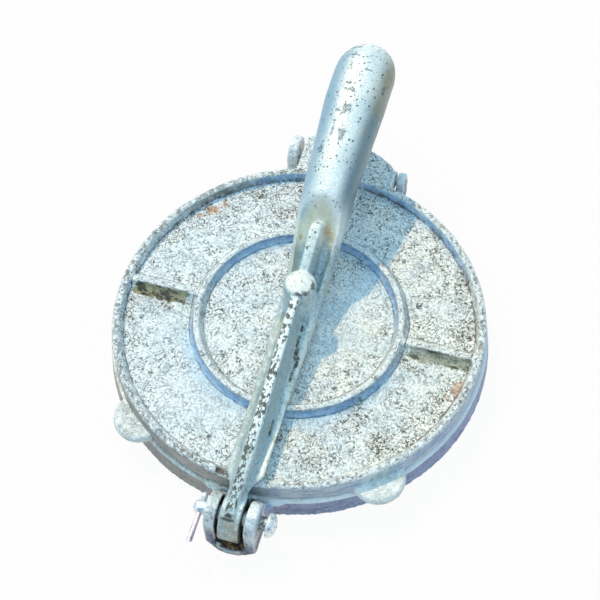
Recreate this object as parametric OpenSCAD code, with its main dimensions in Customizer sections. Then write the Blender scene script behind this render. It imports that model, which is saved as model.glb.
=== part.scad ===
// Round cast-aluminium tortilla press: base, hinged top plate and folding
// lever. Millimetres. +Z up, +Y to the hinge, +X to the right of the cook.
// The origin is under the centre of the plates, on the surface it stands on.

/* [Plates] */
// Radius of the top plate at its parting edge
plate_r = 89; // [80:0.5:100]
// Height of the base casting, table to ledge
base_h = 11.5; // [10:0.5:14]
// Running gap between the closed plates
plate_gap = 0.4; // [0.3:0.1:0.8]
// Thickness of the top plate at its rim
plate_t = 11.6; // [11:0.1:14]
// Depth of the cast recess in the top plate
recess = 4.5; // [3:0.1:5.5]
// Width of the rim band
rim_w = 4; // [3:0.1:6]
// Outer radius of the inner ring rib, at its top
ring_r = 50.1; // [42:0.1:54]
// Width of the ring rib at its top
ring_w = 2.6; // [2:0.1:4]
// Width of the two radial ribs at their top
rib_w = 3; // [2:0.1:5]
// Radius of the low round pad in the middle
pad_r = 17; // [12:0.5:22]

/* [Finger lugs] */
// Radius of each finger lug in plan
lug_r = 12.6; // [10:0.1:15]
// Angle of the lugs from the front centre line
lug_angle = 40; // [30:0.5:50]
// Thickness of the lugs
lug_t = 4.7; // [3.5:0.1:6]

/* [Base] */
// How far the base ledge stands out past the top plate
ledge = 1.3; // [0.8:0.1:2]
// How far the foot flares out past the top plate
flare = 2.5; // [2:0.1:4]
// Thickness of the deck over the hollow underside
deck_t = 4.5; // [4:0.1:6]
// Thickness of the skirt around the hollow underside
skirt_t = 4; // [3:0.1:6]
// Radius of the hub in the middle of the underside
hub_r = 16; // [10:0.5:24]
// Thickness of the stiffening ribs underneath
under_rib_t = 3; // [2:0.1:5]

/* [Lever fork] */
// Distance from the plate edge out to the lever pin
fork_out = 13.5; // [13:0.1:15]
// Height of the lever pin below the rim of the top plate
fork_drop = 6.5; // [5.5:0.1:7]
// Diameter of the lever pin
lever_pin_d = 6.3; // [5:0.1:7]
// Inside width of the fork
fork_gap = 13; // [12.4:0.1:15]
// Thickness of each fork ear
fork_ear_t = 5.4; // [4.5:0.1:6.5]
// Radius of the fork ears about the pin
fork_ear_r = 8.6; // [7.5:0.1:9]
// How far the front of the fork bulges past its ears
fork_bulge = 3.2; // [0.5:0.1:4]

/* [Lever] */
// Radius of the lever eye
eye_r = 10; // [8.5:0.1:10.3]
// Width of the lever eye
eye_w = 9.6; // [8.5:0.1:10.5]
// Width of the top of the centre rib at its front end
rib_front_w = 5.2; // [4:0.1:6]
// Width of the top of the centre rib at the boss
rib_back_w = 3.8; // [3:0.1:5]
// Radius of the boss that presses on the plate
boss_r = 7.7; // [6:0.1:9]
// Height of the boss top above the rim of the top plate
boss_up = 23.5; // [22.5:0.1:25]
// Wall thickness of the hollow handle
grip_wall = 3; // [2.5:0.1:4]

/* [Hinge] */
// Distance from the plate edge back to the hinge pin
hinge_out = 8; // [7.6:0.1:10]
// Height of the hinge pin above the base ledge
hinge_up = 2; // [1.5:0.1:3]
// Diameter of the hinge pin
hinge_pin_d = 4.6; // [4:0.1:5]
// Radius of the hinge barrel
barrel_r = 5; // [4.7:0.1:5.3]

/* [Fits] */
// Clearance on the radius of each pin in its holes
pin_play = 0.05; // [0.02:0.01:0.1]

/* [Hidden] */
$fn = 96;
eps = 0.01;

cast = [0.80, 0.81, 0.82];
cast_top = [0.84, 0.85, 0.86];
steel = [0.62, 0.60, 0.57];

plate_z = base_h + plate_gap;
rim_z = plate_z + plate_t;
floor_z = rim_z - recess;
ledge_r = plate_r + ledge;
foot_r = plate_r + flare;
rim_in_r = plate_r - rim_w;

pivot_y = -(plate_r + fork_out);
pivot_z = rim_z - fork_drop;
lever_bore_r = lever_pin_d/2 + pin_play;
// the fork and the eye sit a little to the right of the centre line
fork_mid = 0.5;
fork_in = [fork_mid - fork_gap/2, fork_mid + fork_gap/2];
fork_side_x = [fork_in[0] - fork_ear_t, fork_in[1] + fork_ear_t];
web_top_z = pivot_z - eye_r - 3;
// front of the lever eye: a smaller round set forward and down
nose = [-2.1, -1.9];
nose_r = eye_r - 1.5;

hinge_y = plate_r + hinge_out;
hinge_z = base_h + hinge_up;
hinge_bore_r = hinge_pin_d/2 + pin_play;
// hinge sides along X: left ear, tab, right ear
tab_x0 = -26.3;
tab_x1 = 23.5;
left_ear = [-34, -28.4];
right_ear = [24.3, 28.6];

// angles where the sides of the tab meet the rim
tab_a0 = 90 + asin(-tab_x0/(plate_r - 2));
tab_a1 = 90 - asin(tab_x1/(plate_r - 2));

// how far the flanks of the radial ribs spread at their foot
rib_slope = 3.3;

// notch in the rim for the lever
notch_w = 26;
notch_z = rim_z - 2.2;

// split pin
split_r = 1.05;
split_x = fork_side_x[0] - 3.3;
split_hole_r = split_r + 0.1;

// ------------------------------------------------------------ helpers
function arc(cx, cy, r, a0, a1, n) =
    [for (i = [0:n]) let (a = a0 + (a1 - a0)*i/n) [cx + r*cos(a), cy + r*sin(a)]];

function mix(a, b, t) = a + (b - a)*t;
function clamp01(t) = min(1, max(0, t));

// prism of a (y, z) outline between two x values
module slab_x(x0, x1) {
    translate([x0, 0, 0]) rotate([90, 0, 90]) linear_extrude(x1 - x0) children();
}

// ------------------------------------------------------------ base
module base_body() {
    rotate_extrude()
        polygon([[0, base_h], [ledge_r - 0.9, base_h], [ledge_r - 0.3, base_h - 0.3],
                 [ledge_r, base_h - 1], [foot_r - 0.3, 2], [foot_r, 0],
                 [foot_r - skirt_t, 0], [ledge_r - skirt_t, base_h - deck_t], [0, base_h - deck_t]]);
    // hub and radial ribs underneath
    cylinder(r = hub_r, h = base_h - deck_t + eps);
    for (i = [0:5]) rotate([0, 0, 30 + 60*i])
        translate([hub_r - 1, -under_rib_t/2, 1.5])
            cube([ledge_r - skirt_t - hub_r + 2, under_rib_t, base_h - deck_t - 1.5 + eps]);
}

fork_front_y = pivot_y - fork_ear_r;
module fork_side() {
    translate([pivot_y, pivot_z]) circle(r = fork_ear_r);
    polygon(concat(
        [[pivot_y + fork_ear_r, pivot_z], [-ledge_r + 0.6, base_h], [-ledge_r + 5, 0]],
        arc(fork_front_y + 1.4, 1.5, 1.7, 270, 180, 4),
        [[fork_front_y, pivot_z]]));
}

// low front of the fork: joins the ears under the eye and bulges forward
module fork_front() {
    linear_extrude(web_top_z)
        polygon(concat([[fork_side_x[1] - 0.4, -ledge_r + 5], [fork_side_x[1] - 0.4, fork_front_y + 1.5]],
            [for (i = [0:16]) let (t = -1 + i/8)
                [fork_mid - t*(fork_side_x[1] - fork_mid - 1), fork_front_y + 0.4 - (fork_bulge + 0.4)*(1 - t*t)]],
            [[fork_side_x[0] + 0.4, fork_front_y + 1.5], [fork_side_x[0] + 0.4, -ledge_r + 5]]));
}

fillet_r = 5;
module fork_fillet(s) {
    x = abs(fork_side_x[s > 0 ? 1 : 0]);
    scale([s, 1, 1]) linear_extrude(base_h - 0.5)
        polygon(concat([[x - 1, -ledge_r + 4], [x - 1, -ledge_r - fillet_r - 1]],
            arc(x + fillet_r, -ledge_r - fillet_r + 0.2, fillet_r, 180, 90, 8),
            [[x + fillet_r + 4, -ledge_r + 4]]));
}

module base() color(cast) {
    difference() {
        union() {
            base_body();
            slab_x(fork_side_x[0], fork_in[0]) fork_side();
            slab_x(fork_in[1], fork_side_x[1]) fork_side();
            fork_front();
            fork_fillet(1);
            fork_fillet(-1);
            // hinge ears
            slab_x(left_ear[0], left_ear[1]) {
                translate([hinge_y + 3.5, hinge_z + 2.3]) circle(r = 8.2);
                polygon([[plate_r - 7, 0], [hinge_y + 7, 0], [hinge_y + 10, 5],
                         [hinge_y + 11.5, hinge_z + 0.6], [hinge_y - 4, hinge_z],
                         [hinge_y - 6, base_h], [plate_r - 7, base_h]]);
            }
            slab_x(right_ear[0], right_ear[1]) {
                translate([hinge_y, hinge_z]) circle(r = barrel_r);
                polygon([[plate_r - 5, 0], [hinge_y + 3.5, 0], [hinge_y + barrel_r, 3],
                         [hinge_y + barrel_r, hinge_z], [hinge_y - barrel_r, hinge_z],
                         [hinge_y - 6, base_h], [plate_r - 5, base_h]]);
            }
        }
        translate([fork_side_x[0] - 1, pivot_y, pivot_z]) rotate([0, 90, 0])
            cylinder(r = lever_bore_r, h = fork_side_x[1] - fork_side_x[0] + 2);
        translate([left_ear[0] - 1, hinge_y, hinge_z]) rotate([0, 90, 0])
            cylinder(r = hinge_bore_r, h = right_ear[1] - left_ear[0] + 2);
    }
}

// ------------------------------------------------------------ top plate
module lug() {
    rotate_extrude()
        polygon(concat([[0, 0], [lug_r - 1, 0], [lug_r, 1]],
            arc(lug_r - 1.8, lug_t - 1.8, 1.8, 0, 90, 5), [[0, lug_t]]));
}

module top_plate() color(cast_top) {
    difference() {
        union() {
            rotate_extrude()
                polygon([[0, plate_z], [plate_r - 0.6, plate_z], [plate_r, plate_z + 0.6],
                         [plate_r - 0.4, rim_z - 0.8], [plate_r - 1.1, rim_z], [rim_in_r, rim_z],
                         [rim_in_r - 1.2, floor_z], [ring_r + 2, floor_z], [ring_r, rim_z - 0.1],
                         [ring_r - ring_w, rim_z - 0.1], [ring_r - ring_w - 2, floor_z],
                         [pad_r, floor_z], [pad_r - 0.5, floor_z + 0.6], [0, floor_z + 0.6]]);
            for (s = [-1, 1])
                slab_x(s > 0 ? ring_r - 1.5 : -rim_in_r - 1, s > 0 ? rim_in_r + 1 : -ring_r + 1.5)
                    polygon([[-rib_w/2 - rib_slope, floor_z - 1], [rib_w/2 + rib_slope, floor_z - 1],
                             [rib_w/2 + rib_slope, floor_z], [rib_w/2 + 0.8, floor_z + 2.2],
                             [rib_w/2, rim_z - 0.2], [-rib_w/2, rim_z - 0.2],
                             [-rib_w/2 - 0.8, floor_z + 2.2], [-rib_w/2 - rib_slope, floor_z]]);
            for (s = [-1, 1]) rotate([0, 0, s*lug_angle])
                translate([0, -(plate_r - 1.6), plate_z + 0.5]) lug();
            // hinge tab and barrel
            translate([0, 0, plate_z])
                linear_extrude(plate_t - 0.5)
                    polygon(concat(arc(0, 0, plate_r - 2, tab_a1, tab_a0, 12),
                        arc(tab_x0 + 3, hinge_y + 8, 3, 180, 90, 4),
                        [[8, hinge_y + 8.8], [14, hinge_y + 6.2], [19.5, hinge_y + 2.8],
                         [22.6, hinge_y - 0.5], [tab_x1, hinge_y - 4]]));
            translate([tab_x0, hinge_y, hinge_z]) rotate([0, 90, 0])
                cylinder(r = barrel_r, h = tab_x1 - tab_x0);
        }
        translate([-notch_w/2, -plate_r - rim_w, notch_z]) cube([notch_w, 3*rim_w, recess]);
        translate([tab_x0 - 1, hinge_y, hinge_z]) rotate([0, 90, 0])
            cylinder(r = hinge_bore_r, h = tab_x1 - tab_x0 + 2);
    }
}

// ------------------------------------------------------------ lever
// Tables along the arm for a plate of 89 mm, front to back. Heights are
// above the rim of the closed top plate.
ky = plate_r/89;
half_w = [[-110, 4.2], [-97, 4.3], [-92.4, 4.6], [-89, 5.9], [-87, 7.2], [-84.5, 8.6], [-70, 8.5], [-48, 8.4],
          [-20, 9.1], [5, 9.5], [20, 10.1], [35, 11.5], [50, 12.5], [69, 13.2], [82, 13.9], [100, 15], [140, 15]];
edge_z = [[-110, 1], [-97, 2.2], [-48, 2.5], [-30, 3.5], [-10, 4.5], [0, 5], [12, 7.2], [22, 12], [32, 18],
          [40, 23.6], [50, 26.6], [60, 29.8], [70, 32.4], [80, 34.9], [90, 37.3], [100, 38.9], [110, 39.7], [140, 40]];
under_z = [[-110, 0.8], [-89, 1], [-86, 0.6], [-48, 0.5], [-30, -0.7], [0, -1.1], [12, 1.5], [22, 6.5], [32, 12.5],
           [40, 18.6], [50, 22.4], [60, 25.8], [100, 35.3], [110, 36.2], [140, 36.6]];
crest_h = [[-15, 0], [0, 3.4], [12, 5.4], [22, 7], [32, 9], [40, 10.4], [47, 11.2], [60, 11.6], [140, 11.9]];
scoop_z = [[-12, 4.3], [0, 4.8], [12, 6.4], [22, 10.2], [32, 17.6], [38, 24.6], [44, 33], [50, 43], [60, 70]];
ridge_z = [[-110, 4.1], [-6, 21.6], [6, 22], [12, 23.8], [31, 30.2], [34, 29.6], [36, 28], [37.4, 24], [38, 0], [140, 0]];
ridge_w = [[-110, rib_front_w/2], [-6, rib_back_w/2], [6, 1.3], [12, 1.4], [28, 2.2], [33, 2], [37.4, 0.8], [140, 0.4]];
ridge_foot = [[-99, 0.4], [-94, 1.6], [-89, 3], [-80, 4.1], [-12, 4.1], [6, 1], [140, 1]];
side_shift = [[-60, fork_mid - 0.05], [0, 0]];
// where the handle starts to round off, and its end
tip_y0 = 119;
tip_y1 = 137;
arm_y = [-99, -96, -93, -90.5, -89, -88, -87, -85.7, -84.5, -82, -76, -62, -48, -39, -30, -22, -15, -10, -5, 0,
         4, 8, 12, 15, 18, 20, 22, 24.5, 27, 29.5, 31, 32, 33, 34, 35, 36, 37, 38, 39.5, 41, 42.5, 44, 45.5, 47, 49,
         52, 56, 60, 65, 70, 76, 82, 88, 94, 100, 106, 112,
         for (s = [0, 0.24, 0.46, 0.64, 0.78, 0.89, 0.96, 0.99]) mix(tip_y0, tip_y1, s)];
// the same for the hollow underneath, which stops short of the handle's end
hollow_y = [-24, -15, 0, 12, 22, 32, 40, 50, 60, 75, 90, 105, tip_y0, mix(tip_y0, tip_y1, 0.3), mix(tip_y0, tip_y1, 0.5)];
arm_u = [0, 0.1, 0.17, 0.2, 0.23, 0.26, 0.3, 0.35, 0.41, 0.48, 0.56, 0.64, 0.72, 0.78, 0.83, 0.88, 0.93, 0.97, 1];

function tip(y) = y <= tip_y0 ? 1 : sqrt(max(0.001, 1 - pow((y - tip_y0)/(tip_y1 - tip_y0), 2)));
function width_at(y) = lookup(y, half_w)*tip(y);
function low_at(y) = mix(lookup(y, edge_z), lookup(y, under_z), tip(y));
// top of the arm at y, a share u of the half width from its middle
function body_z(y, u) = lookup(y, edge_z) + lookup(y, crest_h)*tip(y)*sqrt(max(0, 1 - u*u));
function scoop_at(y, u) = let (x = u*width_at(y), p = max(0, x - (width_at(y) - 4.2)))
    lookup(y, scoop_z) + 1.2*p*p;
function ridge_at(y, u) = let (x = u*width_at(y), a = lookup(y, ridge_w), f = lookup(y, ridge_foot),
        t = clamp01((x - a)/f), g = lookup(y, edge_z), top = lookup(y, ridge_z))
    x > a + f ? -50 : g + (top - g)*pow(1 - t, 2);
function top_z(y, u) = max(min(body_z(y, u), scoop_at(y, u)), ridge_at(y, u));

// one section, left bottom over the top to right bottom
function section(y) = let (w = width_at(y), dx = lookup(y, side_shift), b = rim_z + low_at(y), n = len(arm_u))
    concat([[dx - w, y*ky, b]],
        [for (i = [n - 1:-1:1]) [dx - w*arm_u[i], y*ky, rim_z + top_z(y, arm_u[i])]],
        [for (i = [0:n - 1]) [dx + w*arm_u[i], y*ky, rim_z + top_z(y, arm_u[i])]],
        [[dx + w, y*ky, b]]);
// the hollow under the same section, one wall smaller
function hollow(y) = let (w = width_at(y) - grip_wall, b = rim_z + low_at(y), n = 12,
        e = lookup(y, edge_z), roof = max(b + 0.6, rim_z + min(e + lookup(y, crest_h), lookup(y, scoop_z)) - grip_wall))
    concat([[-w, y*ky, b - 12]],
        [for (i = [0:n]) let (a = 180 - 180*i/n)
            [w*cos(a), y*ky, mix(b, roof, pow(sin(a), 0.6))]],
        [[w, y*ky, b - 12]]);

module skin(rings) {
    n = len(rings[0]);
    m = len(rings);
    polyhedron(
        points = [for (r = rings) for (p = r) p],
        faces = concat(
            [[for (i = [0:n - 1]) i]],
            [[for (i = [n - 1:-1:0]) (m - 1)*n + i]],
            [for (j = [0:m - 2]) for (i = [0:n - 1]) let (k = (i + 1)%n)
                [j*n + i, (j + 1)*n + i, (j + 1)*n + k]],
            [for (j = [0:m - 2]) for (i = [0:n - 1]) let (k = (i + 1)%n)
                [j*n + i, (j + 1)*n + k, j*n + k]]));
}

boss_y = 4*ky;
boss_top = rim_z + boss_up;
foot_z = floor_z + 0.6 + 0.3;

module lever() color(cast_top) {
    difference() {
        union() {
            difference() {
                skin([for (y = arm_y) section(y)]);
                skin([for (y = hollow_y) hollow(y)]);
            }
            // front end of the rib, on top of the eye
            slab_x(fork_mid - rib_front_w/2 + 0.3, fork_mid + rib_front_w/2 - 0.4)
                polygon([[-107.5*ky, pivot_z + 6], [-107.5*ky, rim_z + 3.9], [-106.9*ky, rim_z + 4.5],
                         [-97.5*ky, rim_z + 6.1], [-97.5*ky, pivot_z + 6]]);
            // boss and its foot
            translate([0, boss_y, 0]) rotate_extrude()
                polygon([[0, foot_z], [boss_r - 1, foot_z], [boss_r, foot_z + 1], [boss_r, rim_z + 4],
                         [boss_r + 1.6, rim_z + 5.4], [boss_r + 0.5, rim_z + 8], [boss_r - 0.4, rim_z + 13],
                         [boss_r, boss_top - 3], [boss_r - 0.4, boss_top - 1.4],
                         [boss_r - 1.6, boss_top - 0.5], [boss_r - 4, boss_top + 0.1], [0, boss_top + 0.3]]);
            // eye
            translate([fork_mid - eye_w/2, pivot_y, pivot_z]) rotate([0, 90, 0]) cylinder(r = eye_r, h = eye_w);
            translate([fork_mid - eye_w/2, pivot_y + nose[0], pivot_z + nose[1]]) rotate([0, 90, 0])
                cylinder(r = nose_r, h = eye_w);
        }
        translate([fork_mid - eye_w/2 - 1, pivot_y, pivot_z]) rotate([0, 90, 0])
            cylinder(r = lever_bore_r, h = eye_w + 2);
    }
}

// ------------------------------------------------------------ pins
head_d = 11.2;
head_t = 4.4;
head_gap = 3.4;
pin_tail = 3.4;
head_x = fork_side_x[1] + head_gap;

module lever_pin() color(steel) {
    difference() {
        translate([split_x - pin_tail, pivot_y, pivot_z]) rotate([0, 90, 0]) rotate_extrude()
            polygon(concat([[0, 0], [lever_pin_d/2 - 1.5, 0.3], [lever_pin_d/2 - 0.6, 0.9], [lever_pin_d/2, 2.2]],
                [[lever_pin_d/2, head_x - split_x + pin_tail], [head_d/2 - 0.4, head_x - split_x + pin_tail],
                 [head_d/2, head_x - split_x + pin_tail + 1], [head_d/2 - 0.5, head_x - split_x + pin_tail + 2.4],
                 [head_d/2 - 2, head_x - split_x + pin_tail + head_t - 0.8],
                 [0, head_x - split_x + pin_tail + head_t]]));
        translate([split_x, pivot_y - lever_pin_d, pivot_z]) rotate([-90, 0, 0]) cylinder(r = split_hole_r, h = 2*lever_pin_d, $fn = 32);
    }
}
// one bent wire: two legs side by side and the loop that keeps it in
loop_r = 1.6;
wire_r = 0.75;
leg_len = 16.8;
leg_back = lever_pin_d/2 + 0.4;

module split_pin() color(steel) translate([split_x, pivot_y, pivot_z]) {
    difference() {
        translate([0, leg_back, 0]) rotate([90, 0, 0]) cylinder(r = split_r, h = leg_len + leg_back, $fn = 32);
        translate([-3, -leg_len - 1, -0.06]) cube([6, leg_len + 1, 0.12]);
    }
    translate([0, leg_back + loop_r, 0]) rotate([0, 90, 0])
        rotate_extrude($fn = 48) translate([loop_r, 0]) circle(r = wire_r, $fn = 24);
}

module hinge_pin() color(steel)
    translate([left_ear[0] - 0.6, hinge_y, hinge_z]) rotate([0, 90, 0]) rotate_extrude($fn = 64)
        polygon([[0, 0], [hinge_pin_d/2 - 0.5, 0], [hinge_pin_d/2, 0.5],
                 [hinge_pin_d/2, right_ear[1] - left_ear[0] + 0.7],
                 [hinge_pin_d/2 - 0.5, right_ear[1] - left_ear[0] + 1.2],
                 [0, right_ear[1] - left_ear[0] + 1.2]]);

base();
top_plate();
lever();
lever_pin();
split_pin();
hinge_pin();
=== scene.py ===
import math

import bmesh
import bpy
from mathutils import Matrix, Vector


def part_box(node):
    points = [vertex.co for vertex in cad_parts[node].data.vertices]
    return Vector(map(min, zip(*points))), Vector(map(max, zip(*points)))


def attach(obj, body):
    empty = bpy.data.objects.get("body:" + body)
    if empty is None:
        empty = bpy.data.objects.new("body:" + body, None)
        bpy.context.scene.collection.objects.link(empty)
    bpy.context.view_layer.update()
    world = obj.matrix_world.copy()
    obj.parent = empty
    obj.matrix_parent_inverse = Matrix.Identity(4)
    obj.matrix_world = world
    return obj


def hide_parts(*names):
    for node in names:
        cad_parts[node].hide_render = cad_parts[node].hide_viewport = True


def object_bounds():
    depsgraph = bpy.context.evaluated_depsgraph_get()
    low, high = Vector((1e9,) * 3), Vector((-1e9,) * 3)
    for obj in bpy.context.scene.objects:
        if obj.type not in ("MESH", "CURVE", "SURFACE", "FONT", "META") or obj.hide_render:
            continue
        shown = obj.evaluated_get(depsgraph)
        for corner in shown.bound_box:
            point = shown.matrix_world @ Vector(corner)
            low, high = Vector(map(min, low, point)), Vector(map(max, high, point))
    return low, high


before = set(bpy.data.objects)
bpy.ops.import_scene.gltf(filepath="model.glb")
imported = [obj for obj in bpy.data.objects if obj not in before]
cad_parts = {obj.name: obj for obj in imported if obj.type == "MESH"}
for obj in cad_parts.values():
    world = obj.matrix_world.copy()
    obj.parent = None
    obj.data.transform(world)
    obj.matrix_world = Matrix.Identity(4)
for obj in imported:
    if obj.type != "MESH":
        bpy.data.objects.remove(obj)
cad_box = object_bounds()

# Lengths below are in millimetres, heights are those of the closed press, and a pattern's scale is per metre.
MM = 0.001
FLOOR = 19.0                        # recess floor of the top plate
RIM = 23.5                          # top of its rim
RING_INNER_FLANK = (45.3, 47.4)     # radii on the top plate, from the middle outwards
RING_CREST = (47.3, 50.2)
RING_OUTER_FLANK = (50.2, 52.3)
RIM_INNER_WALL = (83.6, 85.0)
RIM_CREST = (85.0, 88.6)
PLATE_EDGE = (88.3, 89.5)
FORK_FACE = (-96.5, -92.5)          # y between which the round base gives way to the fork
RIGHT_TURN = (30, 55)               # x between which a wall turns from the front to the right
WORN_EDGE = (0.515, 0.56)           # Pointiness between which an edge of the plates is worn bright


# ---------------------------------------------------------------- viewpoint
def place_camera():
    """In front of the press, a little to its right, looking down on it."""
    azimuth, elevation, roll = math.radians(18.65), math.radians(57.64), math.radians(-2.71)
    target = Vector((-1.8, 8.5, 23.5)) * MM
    distance = 621.7 * MM
    back = Vector((math.sin(azimuth) * math.cos(elevation),
                   -math.cos(azimuth) * math.cos(elevation),
                   math.sin(elevation)))
    level = Vector((0, 0, 1)).cross(back).normalized()
    upright = back.cross(level)
    right = level * math.cos(roll) + upright * math.sin(roll)
    up = upright * math.cos(roll) - level * math.sin(roll)
    cam = bpy.data.objects.new("camera", bpy.data.cameras.new("camera"))
    cam.data.sensor_width = 36.0
    cam.data.lens = 78.3
    cam.data.clip_start = 0.01
    view = Matrix((right, up, back)).transposed().to_4x4()
    view.translation = target + back * distance
    cam.matrix_world = view
    bpy.context.collection.objects.link(cam)
    bpy.context.scene.camera = cam


place_camera()


# ---------------------------------------------------------------- node helpers
class Sheet:
    """Short ways to add nodes to one tree."""

    def __init__(self, tree):
        self.tree = tree

    def node(self, kind, **settings):
        n = self.tree.nodes.new(kind)
        for key, value in settings.items():
            setattr(n, key, value)
        return n

    def feed(self, value, socket):
        """Link a socket's output to the socket, or set its value."""
        if isinstance(value, bpy.types.NodeSocket):
            self.tree.links.new(value, socket)
        else:
            socket.default_value = value

    def math(self, op, *values, clamp=False):
        n = self.node("ShaderNodeMath", operation=op, use_clamp=clamp)
        for value, socket in zip(values, n.inputs):
            self.feed(value, socket)
        return n.outputs[0]

    def chain(self, op, first, *rest):
        """Join several values by one operation."""
        for value in rest:
            first = self.math(op, first, value)
        return first

    def add(self, *values):
        return self.chain("ADD", *values)

    def mul(self, *values):
        return self.chain("MULTIPLY", *values)

    def most(self, *values):
        return self.chain("MAXIMUM", *values)

    def sub(self, a, b):
        return self.math("SUBTRACT", a, b)

    def vec(self, op, a, b=(0, 0, 0)):
        n = self.node("ShaderNodeVectorMath", operation=op)
        self.feed(a, n.inputs[0])
        self.feed(b, n.inputs[1])
        return n.outputs["Value"] if op in ("LENGTH", "DOT_PRODUCT") else n.outputs[0]

    def ramp(self, value, low, high, out_low=0.0, out_high=1.0):
        """A smooth step from low to high."""
        n = self.node("ShaderNodeMapRange", interpolation_type="SMOOTHSTEP")
        for v, key in ((value, "Value"), (low, "From Min"), (high, "From Max"),
                       (out_low, "To Min"), (out_high, "To Max")):
            self.feed(v, n.inputs[key])
        return n.outputs["Result"]

    def fade(self, value, low, high):
        """A smooth step down: 1 below low, 0 above high."""
        return self.ramp(value, low, high, 1.0, 0.0)

    def blend(self, factor, a, b):
        n = self.node("ShaderNodeMix", data_type="RGBA")
        self.feed(factor, n.inputs["Factor"])
        self.feed(a, n.inputs["A"])
        self.feed(b, n.inputs["B"])
        return n.outputs["Result"]

    def noise(self, vector, scale, detail=2.0, rough=0.5, warp=0.0):
        n = self.node("ShaderNodeTexNoise")
        self.feed(vector, n.inputs["Vector"])
        self.feed(scale, n.inputs["Scale"])
        n.inputs["Detail"].default_value = detail
        n.inputs["Roughness"].default_value = rough
        n.inputs["Distortion"].default_value = warp
        return n.outputs["Fac"]

    def drift(self, vector, scale, amount, detail=2.0, rough=0.5):
        """Noise about zero, which makes an edge wander."""
        return self.mul(self.sub(self.noise(vector, scale, detail, rough), 0.5), amount)

    def cells(self, vector, scale):
        """The distance to the nearest of many scattered points, and a number from 0 to 1 that is each point's own."""
        n = self.node("ShaderNodeTexVoronoi", feature="F1")
        self.feed(vector, n.inputs["Vector"])
        self.feed(scale, n.inputs["Scale"])
        return n.outputs["Distance"], self.split(n.outputs["Color"])[0]

    def stretch(self, vector, scale, turn=(0, 0, 0)):
        """A place seen as if scaled and turned, which draws a pattern out along one way."""
        n = self.node("ShaderNodeMapping")
        self.feed(vector, n.inputs["Vector"])
        n.inputs["Scale"].default_value = scale
        n.inputs["Rotation"].default_value = turn
        return n.outputs[0]

    def split(self, vector):
        n = self.node("ShaderNodeSeparateXYZ")
        self.feed(vector, n.inputs[0])
        return n.outputs[0], n.outputs[1], n.outputs[2]

    def combine(self, x, y, z):
        n = self.node("ShaderNodeCombineXYZ")
        for value, socket in zip((x, y, z), n.inputs):
            self.feed(value, socket)
        return n.outputs[0]

    def group(self, group, **values):
        """Place a node group; a space in a socket's name is written as an underscore."""
        n = self.node("ShaderNodeGroup")
        n.node_tree = group
        for key, value in values.items():
            self.feed(value, n.inputs[key.replace("_", " ")])
        return n.outputs


def effect(name, inputs, outputs):
    """An empty node group with named sockets; returns its sheet, its input sockets and its output node's."""
    tree = bpy.data.node_groups.new(name, "ShaderNodeTree")
    for label, kind, value in inputs:
        socket = tree.interface.new_socket(label, in_out="INPUT", socket_type="NodeSocket" + kind)
        socket.default_value = value
    for label in outputs:
        tree.interface.new_socket(label, in_out="OUTPUT", socket_type="NodeSocketFloat")
    sheet = Sheet(tree)
    return sheet, sheet.node("NodeGroupInput").outputs, sheet.node("NodeGroupOutput").inputs


def rgb(*screen):
    """A colour given as it looks on a screen, 0 to 255, turned into the linear value that nodes take."""
    return tuple(v / 255 / 12.92 if v <= 10 else ((v / 255 + 0.055) / 1.055) ** 2.4 for v in screen) + (1.0,)


# ---------------------------------------------------------------- shared effects
def make_sand_skin():
    """The skin that a sand mould leaves on aluminium: grain, fine wandering creases and small holes."""
    s, i, o = effect("sand_skin",
                     [("Vector", "Vector", (0, 0, 0)), ("Grain", "Float", 1300.0), ("Creases", "Float", 420.0),
                      ("Holes", "Float", 420.0), ("Hole Share", "Float", 0.12)],
                     ["Height", "Grain", "Dark", "Mottle"])
    v = i["Vector"]
    grain = s.noise(v, i["Grain"], detail=3.0, rough=0.6)
    wander = s.math("ABSOLUTE", s.sub(s.noise(v, i["Creases"], detail=1.6, warp=0.8), 0.5))
    where = s.ramp(s.noise(v, s.mul(i["Creases"], 0.4), rough=0.6), 0.36, 0.52)
    crease = s.mul(s.fade(wander, 0.010, 0.042), where)
    near, pick = s.cells(v, i["Holes"])
    hole = s.mul(s.fade(near, 0.16, 0.40), s.math("LESS_THAN", pick, i["Hole Share"]))
    fleck = s.fade(s.noise(v, s.mul(i["Grain"], 1.2)), 0.30, 0.36)
    dark = s.most(crease, hole, fleck)
    s.feed(s.sub(grain, s.mul(dark, 0.3)), o["Height"])
    s.feed(grain, o["Grain"])
    s.feed(dark, o["Dark"])
    s.feed(s.noise(v, 60.0, detail=4.0, rough=0.6), o["Mottle"])
    return s.tree


def make_spot():
    """One ragged stain, an ellipsoid about a centre."""
    s, i, o = effect("spot",
                     [("Vector", "Vector", (0, 0, 0)), ("Centre", "Vector", (0, 0, 0)),
                      ("Reach", "Vector", (0.005, 0.005, 0.005)), ("Ragged", "Float", 0.6)],
                     ["Mask"])
    away = s.vec("DIVIDE", s.vec("SUBTRACT", i["Vector"], i["Centre"]), i["Reach"])
    edge = s.mul(s.drift(i["Vector"], 420.0, 4.0, detail=3.0, rough=0.65), i["Ragged"])
    s.feed(s.fade(s.add(s.vec("LENGTH", away), edge), 0.4, 1.05), o["Mask"])
    return s.tree


def make_band():
    """A soft-sided band of values between two limits."""
    s, i, o = effect("band",
                     [("Value", "Float", 0.0), ("Low", "Float", 0.0), ("High", "Float", 1.0), ("Soft", "Float", 0.001)],
                     ["Mask"])
    up = s.ramp(i["Value"], s.sub(i["Low"], i["Soft"]), s.add(i["Low"], i["Soft"]))
    down = s.fade(i["Value"], s.sub(i["High"], i["Soft"]), s.add(i["High"], i["Soft"]))
    s.feed(s.mul(up, down), o["Mask"])
    return s.tree


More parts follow.
